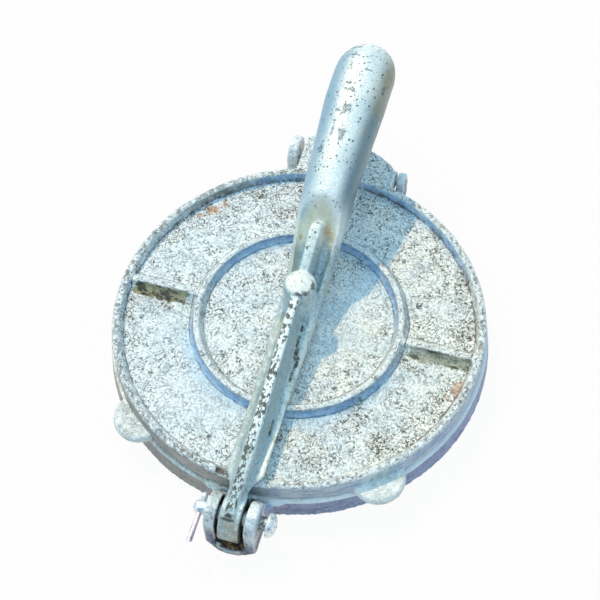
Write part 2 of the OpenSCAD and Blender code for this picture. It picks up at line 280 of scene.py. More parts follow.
def make_file_marks():
    """Fine level streaks that a file leaves round an upright wall."""
    s, i, o = effect("file_marks", [("Vector", "Vector", (0, 0, 0)), ("Scale", "Float", 1300.0)], ["Mask"])
    along = s.stretch(i["Vector"], (0.067, 0.067, 1.0))
    s.feed(s.ramp(s.noise(along, i["Scale"], detail=3.0, rough=0.6), 0.39, 0.64), o["Mask"])
    return s.tree


SAND_SKIN = make_sand_skin()
SPOT = make_spot()
BAND = make_band()
FILE_MARKS = make_file_marks()


class Finish:
    """One material in the making: where a point lies, the casting's skin, and the colour so far."""

    def __init__(self, name, metallic, **skin):
        self.mat = bpy.data.materials.new(name)
        self.mat.use_nodes = True
        self.s = s = Sheet(self.mat.node_tree)
        self.shader = self.mat.node_tree.nodes["Principled BSDF"]
        self.shader.inputs["Metallic"].default_value = metallic
        self.place = s.node("ShaderNodeTexCoord").outputs["Object"]
        self.x, self.y, self.z = s.split(self.place)
        self.radius = s.math("SQRT", s.add(s.mul(self.x, self.x), s.mul(self.y, self.y)))
        self.point = s.node("ShaderNodeNewGeometry").outputs["Pointiness"]
        self.skin = s.group(SAND_SKIN, Vector=self.place, **skin) if skin else None
        self.colour = None

    # masks by place; their limits are in millimetres
    def rise(self, value, low, high, out_low=0.0, out_high=1.0):
        return self.s.ramp(value, low * MM, high * MM, out_low, out_high)

    def fall(self, value, low, high):
        return self.s.fade(value, low * MM, high * MM)

    def hump(self, value, start, full, still_full, end):
        return self.s.mul(self.rise(value, start, full), self.fall(value, still_full, end))

    def band(self, value, low, high, soft):
        return self.s.group(BAND, Value=value, Low=low * MM, High=high * MM, Soft=soft * MM)["Mask"]

    def spots(self, places, ragged):
        """The strongest of several stains; places are (x, y, z, reach x, reach y, reach z)."""
        masks = []
        for place in places:
            size = [v * MM for v in place]
            masks.append(self.s.group(SPOT, Vector=self.place, Centre=size[:3], Reach=size[3:], Ragged=ragged)["Mask"])
        return self.s.most(*masks)

    # masks and colours by pattern
    def patches(self, scale, low, high, detail=3.0):
        return self.s.ramp(self.s.noise(self.place, scale, detail, 0.65), low, high)

    def mottled(self, scale, low, high, one, other, detail=3.0):
        return self.s.blend(self.patches(scale, low, high, detail), one, other)

    # Pointiness is 0.5 on a flat face, less in a hollow and more on an edge
    def hollows(self, low, high):
        return self.s.fade(self.point, low, high)

    def edges(self, low, high):
        return self.s.ramp(self.point, low, high)

    def filed(self, scale, turn, left, middle, right):
        """Metal with file marks, in three pairs of colours from left to right, light streaks as painted reflection and
        bluer to the right as painted shade; turn is where the left one ends.
        """
        s = self.s
        streak = s.group(FILE_MARKS, Vector=self.place, Scale=scale)["Mask"]
        left, middle, right = (s.blend(streak, *pair) for pair in (left, middle, right))
        return s.blend(self.rise(self.x, *turn), left, s.blend(self.rise(self.x, *RIGHT_TURN), middle, right))

    def stain(self, mask, amount, over):
        """Lay a colour over the colour so far where the mask is, up to an amount."""
        self.colour = self.s.blend(self.s.math("MULTIPLY", mask, amount, clamp=True), self.colour, over)

    def bump(self, height, strength, depth):
        n = self.s.node("ShaderNodeBump")
        n.inputs["Strength"].default_value = strength
        n.inputs["Distance"].default_value = depth
        self.s.feed(height, n.inputs["Height"])
        self.s.feed(n.outputs["Normal"], self.shader.inputs["Normal"])

    def done(self, rough):
        self.s.feed(self.colour, self.shader.inputs["Base Color"])
        self.s.feed(rough, self.shader.inputs["Roughness"])
        return self.mat


GRIME = rgb(92, 76, 60)
SOOT = rgb(58, 54, 46)
WORN = rgb(240, 246, 246)


# ---------------------------------------------------------------- finish of the top plate
def plate_metal(f):
    """Bright metal, creamier towards the right and bluer in patches."""
    s = f.s
    right = f.rise(s.add(f.x, s.mul(s.sub(f.skin["Mottle"], 0.5), 0.25)), -30, 70)
    low = s.blend(right, rgb(208, 220, 223), rgb(217, 218, 208))
    high = s.blend(right, rgb(252, 253, 251), rgb(255, 252, 243))
    metal = s.blend(s.ramp(f.skin["Grain"], 0.38, 0.54), low, high)
    f.colour = s.blend(s.ramp(f.skin["Mottle"], 0.36, 0.62, 0.2, 0.0), metal, rgb(184, 210, 219))


def plate_walls(f, rim):
    """Walls of the ring and the rim: smooth, with painted shade that is blue where they face the front, olive-grey on
    the far left and grey elsewhere, and a painted shadow at their feet.
    """
    s = f.s
    inner, outer, rim_wall = (f.band(f.radius, *wall, 0.3)
                              for wall in (RING_INNER_FLANK, RING_OUTER_FLANK, RIM_INNER_WALL))
    under_crest = f.fall(f.z, 22.8, 23.2)
    wall = s.mul(s.most(s.mul(inner, f.rise(f.y, -8, 24)),
                        s.mul(outer, f.fall(f.y, -26, -4)),
                        s.mul(rim_wall, f.rise(f.y, 30, 60))), under_crest)
    # painted shadow along the foot of the walls that face the front
    painted_foot_shadow = s.most(s.mul(f.hump(f.radius, 40.5, 45.0, 45.4, 45.8), f.rise(f.y, 6, 34)),
                    s.mul(f.hump(f.radius, 51.9, 52.3, 52.5, 60.5), f.fall(f.y, -30, -6)),
                    s.mul(f.hump(f.radius, 79.0, 83.2, 83.6, 84.0), f.rise(f.y, 34, 66)))
    f.stain(s.most(f.band(f.radius, *RING_CREST, 0.25), rim), 0.3, rgb(248, 251, 250))
    # painted shade: the ring's flanks greyer below its crest
    f.stain(s.mul(s.most(inner, outer), under_crest), 0.5, rgb(196, 206, 206))
    f.stain(painted_foot_shadow, 0.5, rgb(174, 210, 230))
    middle_of_ring = 48.8 * MM
    from_crest = s.math("ABSOLUTE", s.sub(f.radius, middle_of_ring))
    low_down = s.most(f.rise(from_crest, 1.0, 2.8), f.rise(f.radius, 56, 70))
    deep_blue = f.mottled(260.0, 0.36, 0.6, rgb(92, 128, 170), rgb(124, 158, 194))
    pale_blue = f.mottled(260.0, 0.36, 0.6, rgb(150, 190, 232), rgb(192, 220, 244))
    blue = s.blend(low_down, deep_blue, pale_blue)
    olive = f.mottled(220.0, 0.4, 0.6, rgb(140, 140, 124), rgb(196, 202, 200))
    far_left = f.fall(s.add(f.x, s.mul(f.radius, -0.35)), -86, -62)
    # painted shade on the walls that face the front: blue, and olive-grey on the far left
    f.stain(wall, 0.88, s.blend(far_left, blue, olive))
    return wall, painted_foot_shadow


def plate_grain(f, wall, painted_foot_shadow, rim, low_grain):
    """Dark creases and holes of the skin, fewer on smooth walls and where it is rubbed clean."""
    s = f.s
    rough = s.sub(1.0, s.most(s.mul(wall, 0.75), s.mul(painted_foot_shadow, 0.5)))
    rubbed = f.spots([(20, 2, FLOOR, 26, 36, 6), (-38, -52, FLOOR, 26, 18, 6)], ragged=0.25)
    shown = s.mul(s.ramp(f.skin["Mottle"], 0.36, 0.58, 0.6, 1.0), rough, s.ramp(rubbed, 0.0, 1.0, 1.0, 0.5))
    marks = f.mottled(90.0, 0.42, 0.6, rgb(66, 84, 92), rgb(88, 76, 56))
    f.stain(s.mul(f.skin["Dark"], shown), 0.9, marks)
    f.stain(s.mul(low_grain, shown), 0.14, marks)
    specks = s.add(s.noise(f.place, 620.0, detail=3.0, rough=0.6), f.rise(f.x, -20, 20, 0.055, 0.0))
    f.stain(s.mul(rim, s.ramp(specks, 0.53, 0.60)), 0.72,
            f.mottled(160.0, 0.42, 0.58, rgb(96, 104, 102), rgb(122, 112, 90)))
    # painted shade: hollows tinted blue
    f.stain(f.hollows(0.42, 0.485), 0.3, rgb(120, 156, 190))


def plate_outlines(f):
    """Thin dark lines of painted shade that follow the edges of the ring, the rim and the radial ribs."""
    s = f.s
    ripple = s.drift(f.place, 160.0, 1.6 * MM)
    r = s.add(f.radius, ripple)
    rings = s.most(f.band(r, 52.1, 52.5, 0.22), f.band(r, 49.9, 50.2, 0.2),
                   f.band(r, 45.0, 45.4, 0.22), f.band(r, 83.3, 83.8, 0.25))
    beside_rib = f.band(s.math("ABSOLUTE", s.add(f.y, ripple)), 4.7, 5.1, 0.22)
    ribs = s.mul(f.band(f.radius, 52.0, 84.0, 0.4), beside_rib)
    # painted shade along the edges of the walls
    f.stain(s.mul(s.most(rings, ribs), f.patches(120.0, 0.30, 0.50)), 0.8, rgb(78, 90, 96))


def plate_rim_grime(f, low_grain):
    """Grime that gathers under the rim behind and on the right."""
    s = f.s
    side = s.most(f.rise(f.y, 0, 40), f.rise(f.x, 50, 75))
    near_rim = s.mul(f.hump(f.radius, 66, 82.5, 83.6, 84.4), side)
    f.stain(s.mul(near_rim, s.most(s.mul(low_grain, 0.55), f.skin["Dark"])), 0.7, GRIME)
    f.stain(s.mul(f.band(f.radius, 82.8, 84.3, 0.5), f.patches(150.0, 0.44, 0.58), side), 0.55, GRIME)


def plate_rib_dirt(f):
    """Olive and brown dirt on the front flanks of the two radial ribs."""
    s = f.s
    ragged = s.drift(f.place, 190.0, 9.0 * MM, detail=3.0, rough=0.65)
    along, foot, top = s.add(f.x, ragged), s.add(f.y, ragged), s.add(f.y, s.mul(ragged, 0.25))
    left = s.mul(f.band(along, -81.8, -55.5, 0.8), f.rise(foot, -6.9, -5.9), f.fall(top, -1.3, -0.7))
    right = s.mul(f.band(along, 54.5, 82.5, 0.8), f.rise(foot, -6.5, -5.5), f.fall(top, -1.7, -1.1))
    fleck = s.ramp(s.noise(s.stretch(f.place, (0.6, 1, 1)), 480.0, detail=3.0, rough=0.6), 0.50, 0.57)
    olive = f.mottled(150.0, 0.4, 0.6, rgb(122, 110, 62), rgb(172, 162, 116))
    pale_olive = f.mottled(150.0, 0.4, 0.6, rgb(134, 130, 98), rgb(186, 182, 154))
    f.stain(left, 0.9, s.blend(fleck, olive, rgb(60, 48, 28)))
    f.stain(s.mul(right, f.rise(f.x, 55, 64, 0.7, 1.0)), 0.82,
            s.blend(s.mul(fleck, 0.6), pale_olive, rgb(64, 54, 34)))
    ends = f.spots([(-78.5, -3.0, 20.5, 3.0, 1.6, 3.0), (-76, -5.6, 19.5, 3.0, 0.9, 2.5),
                    (-64, -5.4, 20.0, 4, 1.3, 2.5), (57, -4.6, 19.5, 4.0, 1.6, 2.5),
                    (66, -1.8, 22.5, 6, 0.6, 1.5), (76, -5.4, 19.5, 3, 0.8, 2)], ragged=0.6)
    f.stain(ends, 0.8, SOOT)


def plate_stains(f, low_grain):
    """Brown patches, soot beside the arm, and a little rust."""
    s = f.s
    brown = f.spots([(-80, -9, FLOOR, 5, 3.5, 3), (-64, -9, FLOOR, 6, 3, 3), (-80, -18, FLOOR, 4, 6, 4),
                     (9, -64, FLOOR, 3, 3, 3), (60, -11, FLOOR, 6, 4, 3), (25, -70, FLOOR, 8, 5, 3),
                     (54, -53, FLOOR, 9, 8, 3), (40, -44, FLOOR, 8, 5, 3), (26, -48, RIM, 5, 3, 4),
                     (38, -37, FLOOR, 4, 5, 4), (-26, 59, FLOOR, 8, 6, 3), (17, 70, FLOOR, 2.5, 2, 2),
                     (12, 75, FLOOR, 2.5, 1.6, 2), (18, 38, FLOOR, 6, 3.5, 3), (40, 5, FLOOR, 3, 5, 3),
                     (60, 34, FLOOR, 3, 3, 3), (56, 48, FLOOR, 4, 2, 3), (76, 14, FLOOR, 5, 9, 3),
                     (71, 40, FLOOR, 4, 5, 3), (-40, 66, FLOOR, 6, 3, 3), (30, -22, FLOOR, 3, 2, 3)], ragged=0.9)
    f.stain(s.mul(brown, s.add(s.most(f.skin["Dark"], low_grain), 0.2)), 0.85,
            f.mottled(420.0, 0.4, 0.6, GRIME, rgb(112, 104, 76)))
    soot = f.spots([(-11.3, -85.3, 21.3, 5, 3.4, 1.6), (-5.5, -84.5, 20.5, 3, 2.2, 1.6),
                    (54, -7.5, FLOOR, 2.6, 1.1, 2)], ragged=0.35)
    f.stain(soot, 0.85, rgb(84, 72, 54))
    rust = f.spots([(-60, 51, FLOOR, 4.5, 3.4, 3), (80, -16, FLOOR, 3, 4.5, 3), (-65, 46, FLOOR, 2, 1.6, 3),
                    (77, -21, FLOOR, 1.6, 1.6, 3), (-55, 56, FLOOR, 3, 2, 3)], ragged=0.8)
    f.stain(rust, 0.7, f.mottled(620.0, 0.40, 0.54, rgb(150, 100, 66), rgb(208, 158, 116)))


def plate_outside(f):
    """The two lugs made pale, the right one more so as painted light; the outer wall with the marks of the file running
    round it; and painted light on that wall above the right lug.
    """
    s = f.s
    # painted light: the lugs made pale, more so on the right
    lug = s.mul(f.rise(f.radius, 89.6, 90.2), f.fall(f.y, -20, 0))
    f.stain(lug, f.rise(f.x, -10, 20, 0.6, 1.0), f.mottled(110.0, 0.4, 0.62, rgb(253, 252, 244), rgb(218, 222, 216)))
    f.stain(f.spots([(-63, -72, 21, 4, 5, 4), (-72, -66, 21, 3, 3, 4)], ragged=0.6), 0.5, rgb(150, 142, 120))
    wall = s.mul(f.band(f.radius, *PLATE_EDGE, 0.25), f.fall(f.z, 21.6, 22.6))
    # bluer to the right as painted shade, its light streaks painted reflection
    f.stain(wall, 0.9, f.filed(scale=1300.0, turn=(-10, 20),
                               left=(rgb(182, 176, 166), rgb(140, 132, 122)),
                               middle=(rgb(208, 218, 224), rgb(156, 174, 196)),
                               right=(rgb(222, 232, 242), rgb(136, 166, 208))))
    # painted light on the outer wall above the right lug
    f.stain(f.spots([(58, -70, 19.5, 13, 9, 6)], ragged=0.3), 0.85,
            f.mottled(200.0, 0.4, 0.6, rgb(206, 216, 214), rgb(246, 248, 244)))


def plate_finish():
    f = Finish("cast_plate", metallic=0.22, Grain=900.0, Creases=430.0, Holes=430.0, Hole_Share=0.1)
    low_grain = f.s.fade(f.skin["Grain"], 0.36, 0.48)
    rim = f.band(f.radius, *RIM_CREST, 0.3)
    plate_metal(f)
    wall, painted_foot_shadow = plate_walls(f, rim)
    plate_grain(f, wall, painted_foot_shadow, rim, low_grain)
    plate_outlines(f)
    plate_rim_grime(f, low_grain)
    plate_rib_dirt(f)
    plate_stains(f, low_grain)
    plate_outside(f)
    f.stain(f.edges(*WORN_EDGE), 0.75, WORN)
    f.bump(f.skin["Height"], strength=0.75, depth=1.3 * MM)
    return f.done(rough=f.s.ramp(f.skin["Dark"], 0.0, 1.0, 0.46, 0.75))


# ---------------------------------------------------------------- finish of the base
def base_metal(f):
    """Greyer metal than the plate's, dark in its creases, with painted shade in its hollows."""
    s = f.s
    metal = s.blend(s.ramp(f.skin["Mottle"], 0.36, 0.64), rgb(212, 222, 226), rgb(240, 246, 248))
    f.colour = s.blend(s.ramp(f.skin["Grain"], 0.40, 0.56, 0.3, 0.0), metal, rgb(150, 160, 166))
    f.stain(f.skin["Dark"], 0.7, rgb(84, 90, 90))
    # painted shade in the hollows
    f.stain(f.hollows(0.40, 0.47), 0.6, rgb(84, 86, 86))


def base_skirt(f):
    """Filed wall, olive-grey on the left and blue-grey on the right, the blue being painted shade, and the ledge above
    it, pale as a painted highlight and cream-brown on the left.
    """
    s = f.s
    round_part = f.rise(f.y, *FORK_FACE)
    left_turn = (-12, 6)
    wall = s.mul(f.fall(f.z, 9.8, 11.2), s.math("GREATER_THAN", f.radius, 88.5 * MM), round_part)
    # blue-grey to the right as painted shade
    f.stain(wall, 0.85, f.filed(scale=1100.0, turn=left_turn,
                                left=(rgb(157, 148, 137), rgb(120, 111, 100)),
                                middle=(rgb(140, 148, 180), rgb(106, 114, 148)),
                                right=(rgb(150, 164, 202), rgb(114, 128, 172))))
    # painted highlight along the ledge, cream-brown on the left
    ledge = s.mul(f.band(f.z, 10.4, 12.2, 0.25), s.math("GREATER_THAN", f.radius, 88.2 * MM),
                  round_part, f.fall(f.y, 70, 78))
    f.stain(ledge, 0.92, s.blend(f.rise(f.x, *left_turn),
                                 f.mottled(240.0, 0.4, 0.58, rgb(250, 246, 234), rgb(190, 178, 156)),
                                 rgb(255, 254, 251)))


def base_ears(f):
    """Pale ears behind; the fork's ears in front are pitted, with painted shade darkening their foot and the gap
    between them, and a painted blue shadow beside the right one.
    """
    s = f.s
    rear = s.mul(f.rise(f.y, 88, 92), f.rise(f.z, 12, 16))
    f.stain(rear, 0.45, rgb(252, 253, 252))
    fork = f.fall(f.y, -96, -93)
    f.stain(fork, 0.45, rgb(250, 252, 252))
    f.stain(s.mul(fork, f.patches(150.0, 0.46, 0.58)), 0.4, rgb(116, 124, 134))
    f.stain(s.mul(fork, s.ramp(s.noise(f.place, 430.0, detail=3.0, rough=0.6), 0.60, 0.66)), 0.8, rgb(52, 56, 60))
    f.stain(s.mul(fork, f.fall(f.x, -7.5, -5.5)), 0.45,
            f.mottled(300.0, 0.42, 0.56, rgb(110, 122, 116), rgb(196, 206, 200)))
    # painted blue shadow on the base beside the right ear
    f.stain(f.spots([(13, -93.5, 12, 6, 4, 5)], ragged=0.3), 0.7, rgb(126, 160, 208))
    # painted shade: the fork's ears darker and purple towards their foot
    height = s.add(f.z, s.mul(f.skin["Mottle"], 6.0 * MM), f.rise(f.x, -4, 6, -3.0 * MM, 1.0 * MM))
    f.stain(s.mul(fork, f.fall(height, 10.0, 18.5)), 0.88,
            f.mottled(260.0, 0.4, 0.6, rgb(72, 70, 88), rgb(124, 122, 146)))
    # painted shade in the gap between the fork's ears
    f.stain(s.mul(f.band(f.x, -6.3, 7.3, 0.3), f.fall(f.y, -96, -94)), 0.92, rgb(44, 42, 40))
    rust = f.spots([(1, -112, 4, 7, 4, 4), (5, -111, 4, 3.5, 3, 3), (-3.5, -112, 4, 3, 2, 3),
                    (4, -113.5, 3, 4, 3, 3)], ragged=0.8)
    f.stain(rust, 0.85, f.mottled(560.0, 0.44, 0.56, rgb(58, 42, 30), rgb(172, 128, 76)))
    shine = f.spots([(-4.5, -112.2, 4.5, 1.6, 1.4, 1.6), (3, -113.6, 2, 5, 1, 0.8)], ragged=0.4)
    f.stain(shine, 0.8, rgb(226, 222, 214))


def base_finish():
    f = Finish("cast_base", metallic=0.25, Grain=800.0, Creases=330.0, Holes=380.0, Hole_Share=0.14)
    base_metal(f)
    base_skirt(f)
    base_ears(f)
    f.stain(f.edges(*WORN_EDGE), 0.8, rgb(238, 244, 246))
    f.bump(f.skin["Height"], strength=0.6, depth=1.2 * MM)
    return f.done(rough=f.s.ramp(f.skin["Dark"], 0.0, 1.0, 0.42, 0.72))


# ---------------------------------------------------------------- finish of the lever
def lever_metal(f, grip):
    """Cast skin on the arm, rubbed smooth and brighter on the handle."""
    s = f.s
    mottle = s.ramp(f.skin["Mottle"], 0.34, 0.64)
    arm = s.blend(mottle, rgb(196, 212, 214), rgb(226, 236, 234))
    handle = s.blend(mottle, rgb(221, 231, 230), rgb(244, 247, 242))
    f.colour = s.blend(grip, arm, handle)
    grain = s.most(f.skin["Dark"], s.ramp(f.skin["Grain"], 0.36, 0.5, 0.5, 0.0))
    f.stain(s.mul(grain, s.ramp(grip, 0.0, 1.0, 0.6, 0.16)), 1.0, rgb(92, 104, 106))
    # painted shade in the hollows
    f.stain(f.hollows(0.40, 0.48), 0.35, rgb(124, 138, 138))
    # painted light: the scoop's end wall under the handle made pale
    neck = s.mul(f.band(f.y, 28.0, 47.0, 5.0), f.rise(f.z, 38, 46))
    f.stain(neck, 0.75, rgb(252, 251, 242))
    rear_rib = s.mul(f.band(f.x, -1.8, 2.0, 0.6), f.band(f.y, 8.0, 37.0, 2.0))
    f.stain(rear_rib, 0.45, rgb(196, 212, 212))


def handle_sides(f, grip, across):
    """Painted shade: blue-grey along the right side, turning tan at the tip, and bluish along the left side, most
    towards the tip.
    """
    s = f.s
    towards_tip = f.rise(s.add(f.y, s.mul(f.skin["Mottle"], 30.0 * MM)), 100, 116)
    # painted shade along the right side, tan at the tip
    f.stain(s.mul(s.ramp(across, 0.42, 0.96), grip), 0.84, s.blend(towards_tip, rgb(98, 126, 136), rgb(148, 144, 120)))
    # painted shade, bluish, along the left side
    f.stain(s.mul(s.fade(across, -0.85, -0.1), f.rise(f.y, 40, 100, 0.45, 1.0)), 0.82, rgb(132, 168, 184))
    f.stain(s.mul(s.fade(across, -1.0, -0.55), grip), 0.6, rgb(126, 164, 190))


def arm_flanges(f):
    """The left flange dull, the right one cream."""
    s = f.s
    arm_only = f.fall(f.y, -10, 4)
    f.stain(s.mul(f.fall(f.x, -3.8, -2.5), arm_only), 0.66,
            f.mottled(200.0, 0.4, 0.6, rgb(134, 146, 144), rgb(182, 194, 192)))
    f.stain(s.mul(f.rise(f.x, 6.2, 7.4), arm_only), 0.7,
            f.mottled(200.0, 0.36, 0.5, rgb(196, 190, 164), rgb(252, 248, 230)))


def arm_rib(f):
    """The centre rib: a worn and pitted top, a dull left shoulder and a streaked right flank, darkened with painted
    shade.
    """
    s = f.s
    rib_top = s.add(s.mul(s.add(f.y, 110.0 * MM), 0.168), 27.6 * MM)
    below = s.sub(rib_top, f.z)
    crest = s.mul(f.band(below, -3.0, 0.9, 0.35), f.band(f.x, -1.9, 2.5, 0.3), f.fall(f.y, -4, -2))
    chips = s.add(s.noise(s.stretch(f.place, (1, 0.6, 1)), 700.0, detail=4.0, rough=0.7),
                  s.drift(f.place, 140.0, 0.35),
                  f.rise(f.x, -1.9, 2.2, -0.035, 0.045), f.rise(f.y, -85, -45, -0.03, 0.0))
    bright = s.blend(f.rise(f.y, -100, -50), rgb(180, 196, 200), rgb(238, 245, 243))
    f.stain(crest, 0.95, s.blend(s.ramp(chips, 0.45, 0.52), rgb(72, 80, 78), bright))
    shoulder = s.mul(f.band(below, -3.0, 1.2, 0.35), f.band(f.x, -4.5, -2.0, 0.3), f.band(f.y, -98.0, -8.0, 2.0))
    f.stain(shoulder, 0.7, f.mottled(300.0, 0.38, 0.56, rgb(136, 140, 130), rgb(214, 214, 200)))
    # painted shade on the rib's right flank
    flank = s.mul(f.band(below, 1.2, 12.0, 0.4), f.band(f.x, 1.8, 7.0, 0.4), f.band(f.y, -98.0, -6.0, 2.0))
    f.stain(flank, 0.5, rgb(150, 172, 176))
    streaks = f.spots([(4.9, -17, 29.5, 1.0, 4.5, 3), (5.7, -22.5, 28.2, 1.3, 6.5, 3), (7.0, -27, 27.4, 1.3, 6.5, 3),
                       (6.6, -34, 26.9, 1.0, 5, 3), (5.5, -62, 27, 0.8, 6, 3), (4.8, -10, 30, 0.7, 3, 3)], ragged=0.35)
    f.stain(streaks, 0.9, f.mottled(420.0, 0.5, 0.58, rgb(50, 46, 40), rgb(146, 140, 122)))


def handle_wear(f, grip, across):
    """Pits, short scratches and scars on the handle, and pits on the rib behind the boss."""
    s = f.s
    near, pick = s.cells(f.place, 500.0)
    near = s.add(near, s.drift(f.place, 1300.0, 0.9))
    middle = s.fade(s.math("ABSOLUTE", across), 0.4, 0.9)
    scarred = s.mul(f.patches(48.0, 0.42, 0.56), f.rise(f.z, 46, 54), middle)
    share = s.add(s.mul(middle, 0.18), 0.08, s.mul(scarred, 0.5))
    pits = s.mul(s.fade(near, 0.20, 0.34), s.math("LESS_THAN", pick, share))
    slanted = s.noise(s.stretch(f.place, (1, 0.3, 0.6), turn=(0, 0, 0.25)), 520.0)
    scratches = s.mul(s.fade(slanted, 0.29, 0.325), s.ramp(scarred, 0.0, 0.6, 0.25, 1.0))
    rear_rib = s.mul(f.band(f.x, -1.9, 1.7, 0.3), f.band(f.y, 14.0, 37.0, 1.0))
    rib_pits = s.mul(s.fade(near, 0.32, 0.44), rear_rib, s.math("LESS_THAN", pick, 0.45))
    f.stain(s.most(s.mul(s.most(pits, scratches), grip), rib_pits), 0.85, rgb(66, 78, 78))
    scars = f.spots([(-0.1, 75.9, 69, 2.1, 5.6, 6), (-1.2, 89.0, 72, 3.0, 3.6, 6), (-4.5, 87.5, 71, 2.6, 1.0, 6),
                     (-4.8, 78.4, 69, 0.8, 4.6, 6), (-1.9, 99.5, 74, 3.4, 1.8, 6), (-3.0, 103, 74, 1.4, 1.6, 6),
                     (12.6, 105.8, 69, 0.9, 3.6, 6), (-6.5, 121.8, 74, 3.2, 1.0, 6), (-6.4, 128, 72, 4.0, 1.2, 5),
                     (-8, 68, 64, 1.8, 2.4, 5), (3, 113, 75, 2.2, 1.0, 5)], ragged=0.7)
    f.stain(scars, 0.78, f.mottled(520.0, 0.42, 0.56, rgb(54, 76, 90), rgb(116, 146, 160)))
    tan = f.spots([(12.5, 114.8, 69, 2.6, 7, 6), (10.2, 81.6, 66.7, 0.9, 5.5, 5), (12, 96, 66, 1.6, 8, 6)], ragged=0.5)
    f.stain(tan, 0.55, rgb(160, 150, 116))


def scoop_stains(f):
    """Yellow and rusty stains about the scoop, worst along its two walls and round the rib's end, and painted light on
    its left wall.
    """
    s = f.s
    walls = f.spots([(-7.8, 28.0, 40.0, 1.6, 7.0, 7), (-8.2, 20.0, 35.0, 1.5, 7.0, 6), (6.4, 33.0, 45.0, 2.2, 6.0, 6),
                     (8.4, 24.0, 38.0, 1.3, 8.0, 6), (9.4, 14.0, 31.0, 1.2, 7.0, 4)], ragged=0.35)
    # distance from the rib's end, about 1 where the scoop ends
    around = s.vec("LENGTH", s.combine(s.mul(s.add(f.x, 0.6 * MM), 150.0), s.mul(s.sub(f.y, 30.5 * MM), 88.0), 0.0))
    around = s.add(around, s.drift(f.place, 220.0, 0.4, detail=3.0))
    arch = s.mul(s.ramp(around, 0.52, 0.90), s.fade(around, 1.0, 1.5), f.rise(f.y, 22, 34), f.rise(f.z, 36, 42))
    f.stain(s.most(walls, arch), 0.6, f.mottled(260.0, 0.4, 0.6, rgb(190, 176, 132), rgb(218, 206, 166)))
    # painted light on the scoop's left wall
    f.stain(f.spots([(-7.4, 33.0, 43.0, 3.0, 10.0, 12.0)], ragged=0.2), 0.85, rgb(240, 240, 222))
    rust = f.spots([(4.6, 35.4, 45.4, 2.0, 3.8, 4), (-7.7, 31.3, 41.6, 0.8, 1.8, 3.0), (8.2, 25.0, 39, 0.7, 1.5, 3),
                    (9.6, 16, 31, 0.8, 2.5, 3)], ragged=0.5)
    f.stain(rust, 0.6, rgb(200, 156, 100))
    left_of_boss = f.spots([(-7.2, 15.0, 32.0, 2.4, 8.0, 5.0), (-6.5, -12.0, 28.0, 1.6, 8.0, 4.0)], ragged=0.6)
    f.stain(left_of_boss, 0.3, rgb(190, 186, 160))


def eye_grime_and_shade(f):
    """Cheeks of the eye darkened with painted shade between the fork's ears, its tan and grimy underside, and a painted
    shadow below the rib's front end.
    """
    s = f.s
    # painted shade on the eye's cheeks, between the fork's ears
    beside = s.most(f.rise(f.x, 4.9, 5.3), f.fall(f.x, -4.3, -3.9))
    cheek = s.mul(f.fall(f.y, -95.5, -93.5), f.fall(f.z, 24, 26), beside)
    f.stain(cheek, 0.9, rgb(48, 46, 42))
    eye = s.mul(f.fall(f.y, -104.5, -102.5), f.fall(f.z, 24, 28))
    f.stain(s.mul(eye, f.patches(260.0, 0.3, 0.6)), 0.8, rgb(168, 160, 138))
    height = s.add(f.z, s.mul(f.skin["Mottle"], 8.0 * MM))
    f.stain(s.mul(eye, f.fall(height, 16.5, 21.5)), 0.7,
            f.mottled(520.0, 0.42, 0.58, rgb(62, 50, 36), rgb(148, 118, 78)))
    # dark spots; the upper two are a painted shadow below the rib's front end
    f.stain(f.spots([(4.6, -113, 13.7, 2.2, 3, 2.5), (0, -108.3, 26.0, 4, 1.0, 2), (0.2, -107.2, 27.4, 2.6, 0.9, 1.6)],
                    ragged=0.4), 0.88, rgb(74, 68, 56))


def boss_top(f):
    """Bright worn top of the boss, with painted shade along its dark lower edge."""
    s = f.s
    out = s.math("SQRT", s.add(s.mul(f.x, f.x), s.math("POWER", s.sub(f.y, 4.0 * MM), 2.0)))
    f.stain(s.mul(f.fall(out, 6.6, 7.8), f.rise(f.z, 45.5, 46.5)), 0.85,
            f.mottled(420.0, 0.34, 0.44, rgb(170, 170, 150), rgb(228, 232, 226), detail=2.0))
    # painted shade on the front and right of the boss's edge
    edge = f.spots([(1.2, -2.6, 46.2, 3.2, 1.1, 1.6), (4.6, -1.2, 46.2, 2.4, 1.6, 1.8),
                    (6.6, 3.4, 46.0, 1.1, 2.2, 1.8)], ragged=0.6)
    f.stain(edge, 0.85, rgb(74, 76, 70))


def lever_finish():
    f = Finish("cast_lever", metallic=0.22, Grain=800.0, Creases=300.0, Holes=300.0, Hole_Share=0.1)
    s = f.s
    grip = f.rise(f.y, 34, 52)
    # place across the handle, -1 at its left edge and 1 at its right edge
    half_width = s.add(s.mul(s.sub(f.y, 40.0 * MM), 0.062), 9.8 * MM)
    across = s.math("DIVIDE", f.x, half_width)
    lever_metal(f, grip)
    handle_sides(f, grip, across)
    arm_flanges(f)
    arm_rib(f)
    handle_wear(f, grip, across)
    scoop_stains(f)
    eye_grime_and_shade(f)
    boss_top(f)
    f.stain(f.edges(0.53, 0.58), 0.6, WORN)
    f.bump(f.skin["Height"], strength=0.35, depth=1.0 * MM)
    return f.done(rough=s.ramp(grip, 0.0, 1.0, 0.48, 0.37))


